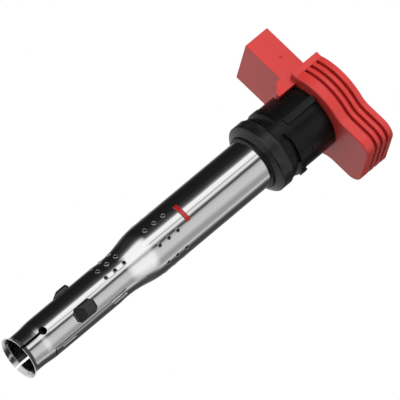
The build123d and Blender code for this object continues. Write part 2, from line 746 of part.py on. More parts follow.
# ---- head -----------------------------------------------------------------------------------
def head_outline():
    """Plan of the head: round belly, tail and the shoulder that carries the connector."""
    tail = Pos(TAIL_END / 2, 0) * Rectangle(TAIL_END, 2 * TAIL_HALF_WIDTH)
    shoulder = Pos(-SHOULDER_END / 2, 0) * Rectangle(SHOULDER_END, 2 * SHOULDER_HALF_WIDTH)
    keep = Pos((BELLY_R - SHOULDER_END) / 2, 0) * Rectangle(BELLY_R + SHOULDER_END, 2 * BELLY_R)
    plan = (Circle(BELLY_R) & keep) + tail + shoulder
    junction = sqrt(BELLY_R ** 2 - TAIL_HALF_WIDTH ** 2)
    blends = plan.vertices().filter_by(lambda v: abs(v.X - junction) < SLIP)
    plan = fillet(blends, TAIL_BLEND)
    corners = plan.vertices().filter_by(lambda v: abs(v.X - TAIL_END) < SLIP)
    return fillet(corners, TAIL_CORNER)


def head_slab(inset, bottom, top):
    """The head's plan, drawn in by the inset, between two levels."""
    plan = head_outline()
    if inset:
        plan = offset(plan, -inset)
    return Pos(0, 0, bottom) * extrude(plan, top - bottom)


def head_grooves():
    """Grooves round the belly and tail that leave the ribs a puller grips."""
    cutters = []
    limit = block(-GROOVE_STOP, TAIL_END + PLAY, -BELLY_R - PLAY, BELLY_R + PLAY,
                  HEAD_BOTTOM, HEAD_TOP)
    for index in range(GROOVES):
        middle = HEAD_BOTTOM + GROOVE_FIRST + index * GROOVE_PITCH
        low = middle - GROOVE_HEIGHT / 2
        high = middle + GROOVE_HEIGHT / 2
        rim = block(-SHOULDER_END - PLAY, TAIL_END + PLAY, -BELLY_R - PLAY, BELLY_R + PLAY,
                    low, high)
        rim -= head_slab(GROOVE_DEPTH, low - PLAY, high + PLAY)
        cutters.append(rim & limit)
    return cutters


def connector_shroud():
    """Solid outside of the connector, from the mouth to the shoulder."""
    return block(-PLUG_END, -SADDLE_INNER, -SHROUD_HALF_WIDTH, SHROUD_HALF_WIDTH,
                 SHROUD_BOTTOM, SHROUD_TOP)


def connector_saddle():
    """Web under the connector that hugs the barrel."""
    low = HEAD_BOTTOM - SADDLE_DEPTH
    side = (
        (-SADDLE_REACH, HEAD_BOTTOM),
        (-SADDLE_REACH, low + SADDLE_CUT),
        (-SADDLE_REACH + SADDLE_CUT, low),
        (-SADDLE_INNER, low),
        (-SADDLE_INNER, HEAD_BOTTOM),
    )
    face = Plane.XZ * make_face(Polyline(*side, close=True))
    return extrude(face, SHROUD_HALF_WIDTH, both=True)


def connector_cavity():
    """Space for the mating plug, less two keying ribs on its floor."""
    half = SHROUD_HALF_WIDTH - SHROUD_WALL
    low = SHROUD_BOTTOM + SHROUD_WALL
    high = SHROUD_TOP - SHROUD_WALL
    cavity = block(-PLUG_END - PLAY, SHROUD_BACK, -half, half, low, high)
    for side in (-1, 1):
        rib = block(-PLUG_END - PLAY, SHROUD_BACK, -KEY_RIB / 2, KEY_RIB / 2, low, low + KEY_RIB)
        cavity -= Pos(0, side * half / 2, 0) * rib
    return cavity


def post_places():
    """Two places beside the barrel and two in the tail."""
    reach = SPIGOT_R + POST_GAP + POST_R
    places = [(reach * cos(radians(b)), reach * sin(radians(b))) for b in POST_BEARINGS]
    tail_x = TAIL_END - TAIL_POST_INSET
    return places + [(tail_x, side * TAIL_POST_HALF_SPACING) for side in (-1, 1)]


def board_posts():
    """Round posts of the head that the board rests on."""
    return [Pos(x, y, 0) * rod(POST_R, FLOOR_TOP, BOARD_BOTTOM) for x, y in post_places()]


def pin_places():
    """Sideways place of each connector pin."""
    return [(index - (PIN_COUNT - 1) / 2) * PIN_PITCH for index in range(PIN_COUNT)]


def connector_pins():
    """Four L-shaped blades from the connector to the board."""
    pins = []
    half = PIN_WIDTH / 2
    for place in pin_places():
        low = PIN_LEVEL - PIN_THICK / 2
        high = PIN_LEVEL + PIN_THICK / 2
        blade = block(SHROUD_BACK - PIN_REACH, -PIN_TURN, place - half, place + half, low, high)
        foot = block(-PIN_TURN - PIN_THICK, -PIN_TURN, place - LEG_WIDTH, place + LEG_WIDTH,
                     low, LEAD_END)
        pins.append(blade + foot)
    return pins


def winding_leads():
    """Strips that lead the coil's ends up to the board."""
    width, depth = LEAD_SIZE
    reach = (PRIMARY_BORE_R + PRIMARY_R) / 2
    lead = block(reach - width / 2, reach + width / 2, -depth / 2, depth / 2,
                 BOBBIN_TOP, LEAD_END)
    return [Rot(0, 0, bearing) * lead for bearing in LEAD_BEARINGS]


def head_housing():
    """Red head: ribbed body, connector shroud, saddle and the board's posts."""
    body = head_slab(0, HEAD_BOTTOM, HEAD_TOP)
    rims = body.edges().filter_by_position(Axis.Z, HEAD_BOTTOM - SLIP, HEAD_BOTTOM + SLIP)
    body = fillet(rims, EDGE_ROUND)
    body -= head_grooves()
    body += connector_shroud()
    body += connector_saddle()
    body -= rod(BARREL_R, HEAD_BOTTOM - SADDLE_DEPTH - PLAY, HEAD_BOTTOM)
    body -= head_slab(HEAD_WALL, FLOOR_TOP, HEAD_TOP + PLAY)
    body -= head_slab(HEAD_WALL - COVER_LAND, COVER_BOTTOM, HEAD_TOP + PLAY)
    body -= rod(SPIGOT_R, HEAD_BOTTOM - PLAY, FLOOR_TOP + PLAY)
    body -= connector_cavity()
    for side in (-1, 1):
        drill = Pos(-PLUG_END + DIMPLE_FROM_END, side * SHROUD_HALF_WIDTH, SHROUD_TOP - DIMPLE_DROP)
        body -= drill * Rot(90, 0, 0) * Cylinder(DIMPLE_R, 2 * DIMPLE_DEPTH)
    for post in board_posts():
        body += post
    return body - connector_pins()


def head_cover():
    """Flat lid let into the top of the head."""
    return head_slab(HEAD_WALL - COVER_LAND + SLIP, COVER_BOTTOM, HEAD_TOP)


def driver_board():
    """Circuit board of the driver stage."""
    board = head_slab(HEAD_WALL + BOARD_GAP, BOARD_BOTTOM, BOARD_TOP)
    return board - connector_pins() - winding_leads()


def heat_spreader():
    """Metal plate between the board and the power switch."""
    length, width, thick = SPREADER_SIZE
    return block(SPREADER_X - length / 2, SPREADER_X + length / 2, -width / 2, width / 2,
                 BOARD_TOP, BOARD_TOP + thick)


def power_switch():
    """Moulded body of the ignition power transistor."""
    length, width, height = SWITCH_SIZE
    bottom = BOARD_TOP + SPREADER_SIZE[2]
    return block(SPREADER_X - length / 2, SPREADER_X + length / 2, -width / 2, width / 2,
                 bottom, bottom + height)


def switch_legs():
    """Legs of the power transistor, from its body over the spreader to the board."""
    length = SWITCH_SIZE[0]
    start = SPREADER_X - length / 2
    edge = SPREADER_X - SPREADER_SIZE[0] / 2
    low = BOARD_TOP + SPREADER_SIZE[2]
    legs = []
    for index in range(LEG_COUNT):
        place = (index - (LEG_COUNT - 1) / 2) * LEG_PITCH
        half = LEG_WIDTH / 2
        arm = block(edge - LEG_THICK, start, place - half, place + half, low, low + LEG_THICK)
        drop = block(edge - LEG_THICK, edge, place - half, place + half, BOARD_TOP, low)
        legs.append(arm + drop)
    return legs


def board_chips():
    """Small parts soldered to the board."""
    length, width, height = CHIP_SIZE
    return [
        block(x - length / 2, x + length / 2, y - width / 2, y + width / 2,
              BOARD_TOP, BOARD_TOP + height)
        for x, y in CHIP_PLACES
    ]


def terminal_carrier():
    """Disc in the barrel that holds the winding leads in place."""
    disc = rod(CARRIER_R, CARRIER_BOTTOM, CARRIER_BOTTOM + CARRIER_THICK)
    return disc - winding_leads()


def head_potting():
    """Casting resin round the board and its parts."""
    resin = head_slab(HEAD_WALL, FLOOR_TOP, BOARD_TOP + POTTING_COVER)
    inside = [driver_board(), heat_spreader(), power_switch()]
    inside += connector_pins() + winding_leads() + switch_legs() + board_chips()
    inside += board_posts()
    return resin - inside


def tube_potting():
    """Casting resin in the barrel, from the coil case to the head."""
    resin = rod(BARREL_BORE_R, CASE_TOP, FLOOR_TOP)
    return resin - terminal_carrier() - winding_leads()


def group(solids):
    """Several separate solids as one node."""
    return Compound(children=list(solids))


NODES = {
    "outer_sleeve": outer_sleeve,
    "plug_boot": plug_boot,
    "plug_contact": plug_contact,
    "contact_spring": contact_spring,
    "suppression_resistor": suppression_resistor,
    "resistor_caps": lambda: group(resistor_caps()),
    "coil_case": coil_case,
    "damping_ring": damping_ring,
    "hv_terminal": hv_terminal,
    "flux_return": flux_return,
    "primary_bobbin": primary_bobbin,
    "primary_winding": primary_winding,
    "secondary_bobbin": secondary_bobbin,
    "secondary_winding": lambda: group(secondary_winding()),
    "core_laminations": lambda: group(core_laminations()),
    "core_cushions": lambda: group(core_cushions()),
    "barrel_housing": barrel_housing,
    "well_seal": well_seal,
    "head_housing": head_housing,
    "head_cover": head_cover,
    "connector_pins": lambda: group(connector_pins()),
    "winding_leads": lambda: group(winding_leads()),
    "terminal_carrier": terminal_carrier,
    "driver_board": driver_board,
    "heat_spreader": heat_spreader,
    "power_switch": power_switch,
    "switch_legs": lambda: group(switch_legs()),
    "board_chips": lambda: group(board_chips()),
    "head_potting": head_potting,
    "tube_potting": tube_potting,
}

os.makedirs("parts", exist_ok=True)
for node_name, make in NODES.items():
    save(make(), node_name)
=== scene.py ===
import json
import math

import bmesh
import bpy
from mathutils import Matrix, Vector


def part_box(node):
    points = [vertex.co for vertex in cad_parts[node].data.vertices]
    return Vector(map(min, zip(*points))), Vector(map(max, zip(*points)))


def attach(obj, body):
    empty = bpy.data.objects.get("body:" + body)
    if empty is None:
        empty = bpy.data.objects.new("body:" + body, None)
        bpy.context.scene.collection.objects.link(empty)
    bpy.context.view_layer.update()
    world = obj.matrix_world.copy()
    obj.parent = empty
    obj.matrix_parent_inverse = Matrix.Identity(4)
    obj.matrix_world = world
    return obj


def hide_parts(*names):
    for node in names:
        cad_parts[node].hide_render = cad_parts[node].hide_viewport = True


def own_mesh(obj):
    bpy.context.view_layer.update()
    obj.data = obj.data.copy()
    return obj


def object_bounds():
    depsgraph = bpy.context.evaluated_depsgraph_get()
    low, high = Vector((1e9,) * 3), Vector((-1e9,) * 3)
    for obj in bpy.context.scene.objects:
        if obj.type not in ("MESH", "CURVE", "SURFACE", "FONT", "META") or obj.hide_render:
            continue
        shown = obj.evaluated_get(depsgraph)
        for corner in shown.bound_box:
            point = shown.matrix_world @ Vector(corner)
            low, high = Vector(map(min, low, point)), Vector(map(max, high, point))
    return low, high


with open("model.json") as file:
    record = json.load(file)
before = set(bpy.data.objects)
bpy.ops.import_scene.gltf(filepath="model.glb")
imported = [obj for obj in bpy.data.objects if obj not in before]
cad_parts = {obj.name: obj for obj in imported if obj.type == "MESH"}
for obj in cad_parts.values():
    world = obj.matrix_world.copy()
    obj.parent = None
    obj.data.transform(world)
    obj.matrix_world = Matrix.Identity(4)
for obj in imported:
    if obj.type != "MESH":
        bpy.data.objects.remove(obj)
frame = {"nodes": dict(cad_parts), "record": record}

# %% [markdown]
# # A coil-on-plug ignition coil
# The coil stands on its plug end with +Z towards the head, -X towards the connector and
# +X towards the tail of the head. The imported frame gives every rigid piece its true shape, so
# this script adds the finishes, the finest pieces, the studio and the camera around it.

CAD_LOW, CAD_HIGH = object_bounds()
NODES = frame["nodes"]
MM = 0.001
SLOT_OF = {part["node"]: part["material_slot"] for part in frame["record"]["subparts"]}
print("frame holds", len(NODES), "nodes, box", tuple(CAD_LOW), tuple(CAD_HIGH))


def look_from(azimuth, elevation):
    """Unit vector from the object towards a bearing; 0 looks along +Y, 90 along -X."""
    a, e = math.radians(azimuth), math.radians(elevation)
    return Vector((math.sin(a) * math.cos(e), -math.cos(a) * math.cos(e), math.sin(e)))


# %% [markdown]
# ## Camera
# The coil is looked at from slightly below the horizon, so that the plug end's mouth and the
# underside of the head both show. A very long lens keeps the sides of the tube parallel. The
# camera is then rolled, which lays the upright coil across the picture from corner to corner.

# %% Camera
VIEW_AZIMUTH, VIEW_ELEVATION = 15.0, -23.6
VIEW_WIDTH = 0.1705
AXIS_SLOPE = 39.86       # degrees between the coil axis and the picture's width
LENS, SENSOR = 800.0, 36.0
AIM = Vector((-0.00218, -0.00058, 0.1106))

toward_camera = look_from(VIEW_AZIMUTH, VIEW_ELEVATION)
level = Vector((0, 0, 1)).cross(toward_camera).normalized()
upright = toward_camera.cross(level).normalized()
roll = math.radians(90 - AXIS_SLOPE)
camera_right = level * math.cos(roll) + upright * math.sin(roll)
camera_up = upright * math.cos(roll) - level * math.sin(roll)
camera = bpy.data.cameras.new("camera")
camera.lens, camera.sensor_width, camera.clip_end = LENS, SENSOR, 60
camera_object = bpy.data.objects.new("camera", camera)
bpy.context.scene.collection.objects.link(camera_object)
turn = Matrix((camera_right, camera_up, toward_camera)).transposed().to_4x4()
camera_object.matrix_world = Matrix.Translation(AIM + toward_camera * VIEW_WIDTH * LENS / SENSOR) @ turn
bpy.context.scene.camera = camera_object
print("camera stands", round(VIEW_WIDTH * LENS / SENSOR, 2), "m away")


# %% [markdown]
# ## Node helpers
# Every material below is a small graph. One helper makes a node and fills its inputs, so that a
# finish reads as a list of what feeds what. The others wrap the four nodes used most.

# %% Node helpers
def fill(tree, socket, value):
    """Links a socket to the input, or sets its value."""
    if isinstance(value, bpy.types.NodeSocket):
        tree.links.new(value, socket)
    elif isinstance(value, (tuple, list)) and socket.type == "RGBA" and len(value) == 3:
        socket.default_value = (*value, 1)
    else:
        socket.default_value = value


def node(tree, kind, settings=None, **inputs):
    """New node; _0 means the first input, and a name means the input of that name."""
    made = tree.nodes.new(kind)
    for name, value in (settings or {}).items():
        setattr(made, name, value)
    for name, value in inputs.items():
        key = int(name[1:]) if name[0] == "_" else name.replace("_", " ")
        fill(tree, made.inputs[key], value)
    return made


def sum_node(tree, operation, first, second=0.0, clamp=False):
    """One sum on two values."""
    settings = {"operation": operation, "use_clamp": clamp}
    return node(tree, "ShaderNodeMath", settings, _0=first, _1=second).outputs[0]


def ramp(tree, factor, stops):
    """Colour ramp from (place, grey or colour) stops."""
    made = node(tree, "ShaderNodeValToRGB", Fac=factor)
    elements = made.color_ramp.elements
    while len(elements) < len(stops):
        elements.new(0.5)
    for element, (place, value) in zip(elements, stops):
        element.position = place
        element.color = (*((value,) * 3 if isinstance(value, (int, float)) else value), 1)
    return made.outputs["Color"]


def mix(tree, factor, first, second, blend="MIX"):
    """Two colours mixed by a factor."""
    made = node(tree, "ShaderNodeMix", {"data_type": "RGBA", "blend_type": blend})
    for index, value in ((0, factor), (6, first), (7, second)):
        fill(tree, made.inputs[index], value)
    return made.outputs[2]


def linear(shown):
    """Linear value of a display level from 0 to 255."""
    share = shown / 255
    return share / 12.92 if share <= 0.04045 else ((share + 0.055) / 1.055) ** 2.4


print("helpers ready; a display level of 128 is", round(linear(128), 3), "in linear light")


# %% [markdown]
# ## Studio
# Polished steel shows nothing but its surroundings, so the studio is designed as a band of
# panels round the coil: a bright softbox just to the connector's side, a long mid-grey panel on
# the other side, black flags beyond both, and white paper low down and behind. The band is a
# ramp over the bearing of the light, one ramp for each height, mixed by how high the light is.

# %% World
# (bearing in degrees, display level) for light from above, level with and below the coil
RAISED = ((-180, 215), (-162, 120), (-140, 70), (-114, 64), (-102, 130), (-94, 222), (-85, 165),
          (-68, 158), (-48, 210), (-26, 206), (-14, 186), (-9, 86), (-1, 80), (4, 226),
          (12, 250), (16, 140), (20, 252), (36, 262), (43, 130), (52, 66), (70, 34),
          (112, 28), (138, 40), (156, 130), (180, 215))
HORIZON = ((-180, 235), (-150, 150), (-128, 78), (-100, 80), (-84, 210), (-50, 258), (-18, 250),
           (-5, 178), (2, 215), (8, 262), (52, 258), (64, 110), (78, 52), (125, 36), (150, 150),
           (180, 235))
LOWERED = ((-180, 228), (-115, 190), (-85, 60), (-52, 40), (-36, 190), (-26, 60), (-4, 70), (18, 225),
           (60, 215), (100, 210), (180, 228))
OVERHEAD = 70

world = bpy.data.worlds.new("studio")
bpy.context.scene.world = world
world.use_nodes = True
sky = world.node_tree
sky.nodes.clear()
toward_light = node(sky, "ShaderNodeTexCoord").outputs["Generated"]
front, beside = look_from(VIEW_AZIMUTH, 0), look_from(VIEW_AZIMUTH - 90, 0)


def along(axis):
    """How far the light's direction runs along an axis."""
    return node(sky, "ShaderNodeVectorMath", {"operation": "DOT_PRODUCT"},
                _0=toward_light, _1=tuple(axis)).outputs["Value"]


heading = node(sky, "ShaderNodeCombineXYZ", X=along(front), Y=along(beside)).outputs[0]
bearing = node(sky, "ShaderNodeTexGradient", {"gradient_type": "RADIAL"}, Vector=heading)
height = node(sky, "ShaderNodeSeparateXYZ", Vector=toward_light).outputs["Z"]


def band(levels):
    """Ramp over the bearing, which grows from the camera towards the connector's side."""
    return ramp(sky, bearing.outputs["Fac"], [((b + 180) / 360, linear(v)) for b, v in levels])


def rise(low, high):
    """0 to 1 as the light goes from one height to another."""
    return node(sky, "ShaderNodeMapRange", {"interpolation_type": "SMOOTHSTEP"},
                Value=height, From_Min=low, From_Max=high).outputs[0]


around = mix(sky, rise(-0.2, -0.06), band(LOWERED), band(HORIZON))
around = mix(sky, rise(0.12, 0.3), around, band(RAISED))
around = mix(sky, rise(0.62, 0.8), around, (linear(OVERHEAD),) * 3)
seen = node(sky, "ShaderNodeLightPath").outputs["Is Camera Ray"]
backdrop = node(sky, "ShaderNodeBackground", Color=(1, 1, 1), Strength=1.0).outputs[0]
panels = node(sky, "ShaderNodeBackground", Color=around, Strength=1.0).outputs[0]
shown = node(sky, "ShaderNodeMixShader", _0=seen, _1=panels, _2=backdrop).outputs[0]
node(sky, "ShaderNodeOutputWorld", Surface=shown)
bpy.context.scene.view_settings.view_transform = "Standard"
print("studio bands have", len(RAISED), len(HORIZON), "and", len(LOWERED), "stops")


# %% [markdown]
# The lamps are soft and the steel doesn't see them: they only lift the plastics and rubber. The
# floor is pale paper under the plug end. It shows from above and takes the coil's shadow, and
# it is clear from below, because the camera looks up through it.

# %% Lamps and floor
LAMPS = {  # name: azimuth, elevation, width, watts
    "key_lamp": (-10, 22, 0.35, 5.0),
    "side_lamp": (75, 12, 0.5, 1.4),
    "top_lamp": (200, 60, 0.5, 3.0),
}
LAMP_DISTANCE = 0.9
centre = (CAD_LOW + CAD_HIGH) / 2
for name, (azimuth, elevation, width, watts) in LAMPS.items():
    lamp = bpy.data.lights.new(name, "AREA")
    lamp.size, lamp.energy = width, watts
    lamp_object = bpy.data.objects.new(name, lamp)
    bpy.context.scene.collection.objects.link(lamp_object)
    away = look_from(azimuth, elevation)
    lamp_object.location = centre + away * LAMP_DISTANCE
    lamp_object.rotation_euler = (-away).to_track_quat("-Z", "Y").to_euler()
    lamp_object.visible_glossy = False
    lamp_object.visible_camera = False

FLOOR_SIZE, FLOOR_GAP = 6.0, 0.0002
paper = bpy.data.materials.new("paper_floor")
paper.use_nodes = True
sheet = paper.node_tree
sheet.nodes.clear()
speckle = node(sheet, "ShaderNodeTexNoise", Scale=40.0, Detail=4.0).outputs["Fac"]
tone = ramp(sheet, speckle, ((0.3, 0.86), (0.7, 0.9)))
path = node(sheet, "ShaderNodeLightPath").outputs["Is Camera Ray"]
facing = sum_node(sheet, "SUBTRACT", 1.0, node(sheet, "ShaderNodeNewGeometry").outputs["Backfacing"])
mask = sum_node(sheet, "MULTIPLY", path, facing)
clear = node(sheet, "ShaderNodeBsdfTransparent").outputs[0]
matt = node(sheet, "ShaderNodeBsdfDiffuse", Color=tone).outputs[0]
seen_paper = node(sheet, "ShaderNodeMixShader", _0=mask, _1=clear, _2=matt).outputs[0]
node(sheet, "ShaderNodeOutputMaterial", Surface=seen_paper)
half = FLOOR_SIZE / 2
drop = CAD_LOW.z - FLOOR_GAP
floor_mesh = bpy.data.meshes.new("paper_floor")
corners = [(x * half, y * half, drop) for x, y in ((-1, -1), (1, -1), (1, 1), (-1, 1))]
floor_mesh.from_pydata(corners, [], [(0, 1, 2, 3)])
floor_mesh.materials.append(paper)
floor = bpy.data.objects.new("paper_floor", floor_mesh)
bpy.context.scene.collection.objects.link(floor)
print("lamps", list(LAMPS), "and a floor", FLOOR_SIZE, "m wide")

# %% [markdown]
# ## Shared effects
# Four effects return on many pieces, so each is a node group that gives out only heights, masks
# or colours. Moulded grain is the fine skin of a plastic or rubber part. Edge wear finds
# corners by comparing a softened normal with the true one; on the mouldings its lighter tone is
# partly painted highlight. Dust settles unevenly, and on the seal its pale patches are partly
# painted highlight. Drawn lines are the long faint marks that rolling or turning leaves on metal.

# %% Effect groups
EDGE_GAIN = 7.0          # how fast the wear mask fills as the softened normal turns away
FLECK_SCALE, FLECK_SIZE, FLECK_SHADE = 1800.0, 0.16, 0.35
HAIR_SCALE = 900.0


def effect(name, inputs, outputs):
    """Empty group with named inputs (name, default) and outputs (name, type)."""
    group = bpy.data.node_groups.new(name, "ShaderNodeTree")
    for label, default in inputs:
        socket = group.interface.new_socket(label, in_out="INPUT", socket_type="NodeSocketFloat")
        socket.default_value = default
    for label, kind in outputs:
        group.interface.new_socket(label, in_out="OUTPUT", socket_type=kind)
    return group, group.nodes.new("NodeGroupInput"), group.nodes.new("NodeGroupOutput")


def place_of(tree):
    """Position on the piece, in metres."""
    return node(tree, "ShaderNodeTexCoord").outputs["Object"]


def build_grain():
    """Fine skin of a moulding, and its slow mottling."""
    group, given, out = effect("moulded_grain", (("Size mm", 0.4), ("Mottle mm", 9.0)),
                               (("Height", "NodeSocketFloat"), ("Mottle", "NodeSocketFloat")))
    scale = sum_node(group, "DIVIDE", 1000.0, given.outputs["Size mm"])
    slow = sum_node(group, "DIVIDE", 1000.0, given.outputs["Mottle mm"])
    where = place_of(group)
    fine = node(group, "ShaderNodeTexNoise", Vector=where, Scale=scale, Detail=3.0, Roughness=0.6)
    wide = node(group, "ShaderNodeTexNoise", Vector=where, Scale=slow, Detail=4.0, Roughness=0.5)
    group.links.new(fine.outputs["Fac"], out.inputs["Height"])
    group.links.new(wide.outputs["Fac"], out.inputs["Mottle"])
    return group


def build_wear():
    """Corners that have lost their skin or take a painted highlight, broken up into patches."""
    group, given, out = effect("edge_wear", (("Reach mm", 0.35), ("Break mm", 3.0), ("Amount", 1.0)),
                               (("Mask", "NodeSocketFloat"),))
    true_normal = node(group, "ShaderNodeNewGeometry").outputs["Normal"]
    reach = sum_node(group, "MULTIPLY", given.outputs["Reach mm"], MM)
    soft = node(group, "ShaderNodeBevel", {"samples": 6}, Radius=reach).outputs[0]
    match = node(group, "ShaderNodeVectorMath", {"operation": "DOT_PRODUCT"}, _0=true_normal, _1=soft)
    turned = sum_node(group, "SUBTRACT", 1.0, match.outputs["Value"])
    edge = sum_node(group, "MULTIPLY", turned, EDGE_GAIN, True)
    scale = sum_node(group, "DIVIDE", 1000.0, given.outputs["Break mm"])
    patch = node(group, "ShaderNodeTexNoise", Vector=place_of(group), Scale=scale, Detail=5.0).outputs["Fac"]
    broken = sum_node(group, "MULTIPLY", edge, patch)
    group.links.new(sum_node(group, "MULTIPLY", broken, given.outputs["Amount"], True), out.inputs["Mask"])
    return group


def build_dust():
    """Film in patches, with single flecks."""
    group, given, out = effect("dust", (("Patch mm", 6.0), ("Amount", 0.3)), (("Mask", "NodeSocketFloat"),))
    scale = sum_node(group, "DIVIDE", 1000.0, given.outputs["Patch mm"])
    where = place_of(group)
    patch = node(group, "ShaderNodeTexNoise", Vector=where, Scale=scale, Detail=6.0).outputs["Fac"]
    fleck = node(group, "ShaderNodeTexVoronoi", Vector=where, Scale=FLECK_SCALE).outputs["Distance"]
    flecks = sum_node(group, "LESS_THAN", fleck, FLECK_SIZE)
    film = node(group, "ShaderNodeMapRange", Value=patch, From_Min=0.45, From_Max=0.8).outputs[0]
    both = sum_node(group, "ADD", film, sum_node(group, "MULTIPLY", flecks, FLECK_SHADE))
    group.links.new(sum_node(group, "MULTIPLY", both, given.outputs["Amount"], True), out.inputs["Mask"])
    return group


def build_lines():
    """Long fine lines, a slow wave and a few hair scratches."""
    group, given, out = effect("drawn_lines", (("Line mm", 0.25), ("Stretch", 0.02), ("Wave mm", 14.0)),
                               (("Height", "NodeSocketFloat"), ("Wave", "NodeSocketFloat"),
                                ("Scratch", "NodeSocketFloat")))
    where = place_of(group)
    spread = node(group, "ShaderNodeCombineXYZ", X=1.0, Y=1.0, Z=given.outputs["Stretch"]).outputs[0]
    long = node(group, "ShaderNodeVectorMath", {"operation": "MULTIPLY"}, _0=where, _1=spread).outputs[0]
    scale = sum_node(group, "DIVIDE", 1000.0, given.outputs["Line mm"])
    slow = sum_node(group, "DIVIDE", 1000.0, given.outputs["Wave mm"])
    line = node(group, "ShaderNodeTexNoise", Vector=long, Scale=scale, Detail=3.0).outputs["Fac"]
    wave = node(group, "ShaderNodeTexNoise", Vector=where, Scale=slow, Detail=1.0).outputs["Fac"]
    hair = node(group, "ShaderNodeTexNoise", Vector=where, Scale=HAIR_SCALE, Detail=8.0,
                Distortion=1.5).outputs["Fac"]
    scratch = node(group, "ShaderNodeMapRange", Value=hair, From_Min=0.62, From_Max=0.72).outputs[0]
    for value, label in ((line, "Height"), (wave, "Wave"), (scratch, "Scratch")):
        group.links.new(value, out.inputs[label])
    return group


GRAIN, WEAR, DUST, LINES = build_grain(), build_wear(), build_dust(), build_lines()


def use(tree, group, **values):
    """One use of an effect group, with its own values."""
    made = tree.nodes.new("ShaderNodeGroup")
    made.node_tree = group
    for label, value in values.items():
        made.inputs[label.replace("_", " ")].default_value = value
    return made.outputs


print("effect groups:", [group.name for group in (GRAIN, WEAR, DUST, LINES)])


# %% [markdown]
# ## Finishes
# Each finish starts from the same shader and adds what its material really shows. `finish`
# makes the material and its shader, and `relief` joins a height to the surface's normal. A real
# moulding has no perfectly sharp corner, so `relief` can also round the normal over the edges.

# %% Material helpers
FINISHES = {}
MOTTLE_DEPTH = 0.84      # a moulding's darker patches, as a share of its colour
# The dust colour also serves as painted highlight in the seal's pale patches.
DUST_AND_SHEEN_TONE, DUST_AND_SHEEN_LIFT, DUST_ROUGHNESS = 0.5, 0.13, 0.2
WAVE_UNIT = 20.0         # a wave texture of scale 1 repeats this many times in 2 pi metres


def finish(name, colour, roughness, metallic=0.0, **fixed):
    """New material whose constant values sit on the shader itself."""
    made = bpy.data.materials.new(name)
    made.use_nodes = True
    tree = made.node_tree
    shader = tree.nodes["Principled BSDF"]
    shader.inputs["Base Color"].default_value = (*colour, 1)
    shader.inputs["Roughness"].default_value = roughness
    shader.inputs["Metallic"].default_value = metallic
    for label, value in fixed.items():
        shader.inputs[label.replace("_", " ")].default_value = value
    FINISHES[name] = made
    return tree, shader


def relief(tree, shader, height, depth_mm, before=None):
    """Relief of a real depth, over an earlier normal or over edges rounded by so many mm."""
    if isinstance(before, float):
        before = node(tree, "ShaderNodeBevel", {"samples": 8}, Radius=before * MM).outputs[0]
    bump = node(tree, "ShaderNodeBump", Height=height, Strength=1.0, Distance=depth_mm * MM)
    if before is not None:
        tree.links.new(before, bump.inputs["Normal"])
    tree.links.new(bump.outputs[0], shader.inputs["Normal"])
    return bump.outputs[0]


def span(tree, value, low, high):
    """A 0 to 1 value as a value from low to high."""
    return node(tree, "ShaderNodeMapRange", Value=value, To_Min=low, To_Max=high).outputs[0]


def wave_scale(pitch_mm):
    """Scale of a wave texture that repeats at a real pitch."""
    return math.tau / (WAVE_UNIT * pitch_mm * MM)


def moulded(name, colour, light, roughness, size=0.4, depth=0.012, wear_and_highlight=0.3, dust=0.15, soft=0.3,
            **fixed):
    """Moulded plastic or rubber: grain, mottling, lighter edges that are partly wear and partly painted
    highlight, and a little dust that on the seal also paints highlights.
    """
    tree, shader = finish(name, colour, roughness, **fixed)
    grain = use(tree, GRAIN, Size_mm=size)
    worn = use(tree, WEAR, Amount=wear_and_highlight)["Mask"]
    dust_and_sheen = use(tree, DUST, Amount=dust)["Mask"]
    deep = tuple(part * MOTTLE_DEPTH for part in colour)
    base = mix(tree, grain["Mottle"], deep, colour)
    # Partly painted highlight: the lighter edge tone stands for light caught on rounded edges as well as for
    # wear.
    base = mix(tree, worn, base, light)
    # On the seal these pale dust patches are partly painted highlight, standing for its sheen.
    base = mix(tree, dust_and_sheen, base, tuple(part * DUST_AND_SHEEN_TONE + DUST_AND_SHEEN_LIFT for part in light))
    tree.links.new(base, shader.inputs["Base Color"])
    rough = sum_node(tree, "ADD", span(tree, grain["Mottle"], roughness - 0.06, roughness + 0.08),
                     sum_node(tree, "MULTIPLY", dust_and_sheen, DUST_ROUGHNESS), True)
    tree.links.new(rough, shader.inputs["Roughness"])
    relief(tree, shader, grain["Height"], depth, soft)


print("a finish is a material made by finish(), moulded() or one of the functions below")


# %% [markdown]
# The sleeve is thin bright steel, rolled into a tube and polished. Its reflections wander a
# little because the sheet isn't perfectly flat, so a slow wave bends the normal, very fine
# lines run along the tube, and a few hairline scratches and a breath of haze roughen it. Only
# the outside and the lip are polished: the walls that face the axis are rougher, and their
# colour is darkened as painted shade for the dark inside of the tube.

# %% Polished steel
# The inside colour is painted shade: a dark steel tone for the walls that face the axis, standing for the
# dark inside of the tube.
STEEL_DULL, STEEL_BRIGHT, INSIDE_PAINTED_SHADE = (0.82, 0.82, 0.83), (0.9, 0.9, 0.895), (0.2, 0.19, 0.185)
INSIDE_ROUGHNESS = 0.22
INSIDE_LIMIT = -0.004    # radius times the share of the normal that points outwards, metres
LIP_END, WALL_START = 1.5 * MM, 3.0 * MM


def inside_shade_mask(tree):
    """1 on the walls that face the coil's axis, above the flared lip, where shade is painted."""
    where = place_of(tree)
    flat = node(tree, "ShaderNodeVectorMath", {"operation": "MULTIPLY"}, _0=where, _1=(1, 1, 0)).outputs[0]
    facing = node(tree, "ShaderNodeTexCoord").outputs["Normal"]
    toward = node(tree, "ShaderNodeVectorMath", {"operation": "DOT_PRODUCT"}, _0=flat, _1=facing)
    level = node(tree, "ShaderNodeSeparateXYZ", Vector=where).outputs["Z"]
    inside = sum_node(tree, "LESS_THAN", toward.outputs["Value"], INSIDE_LIMIT)
    above = node(tree, "ShaderNodeMapRange", Value=level, From_Min=LIP_END, From_Max=WALL_START).outputs[0]
    return sum_node(tree, "MULTIPLY", inside, above)


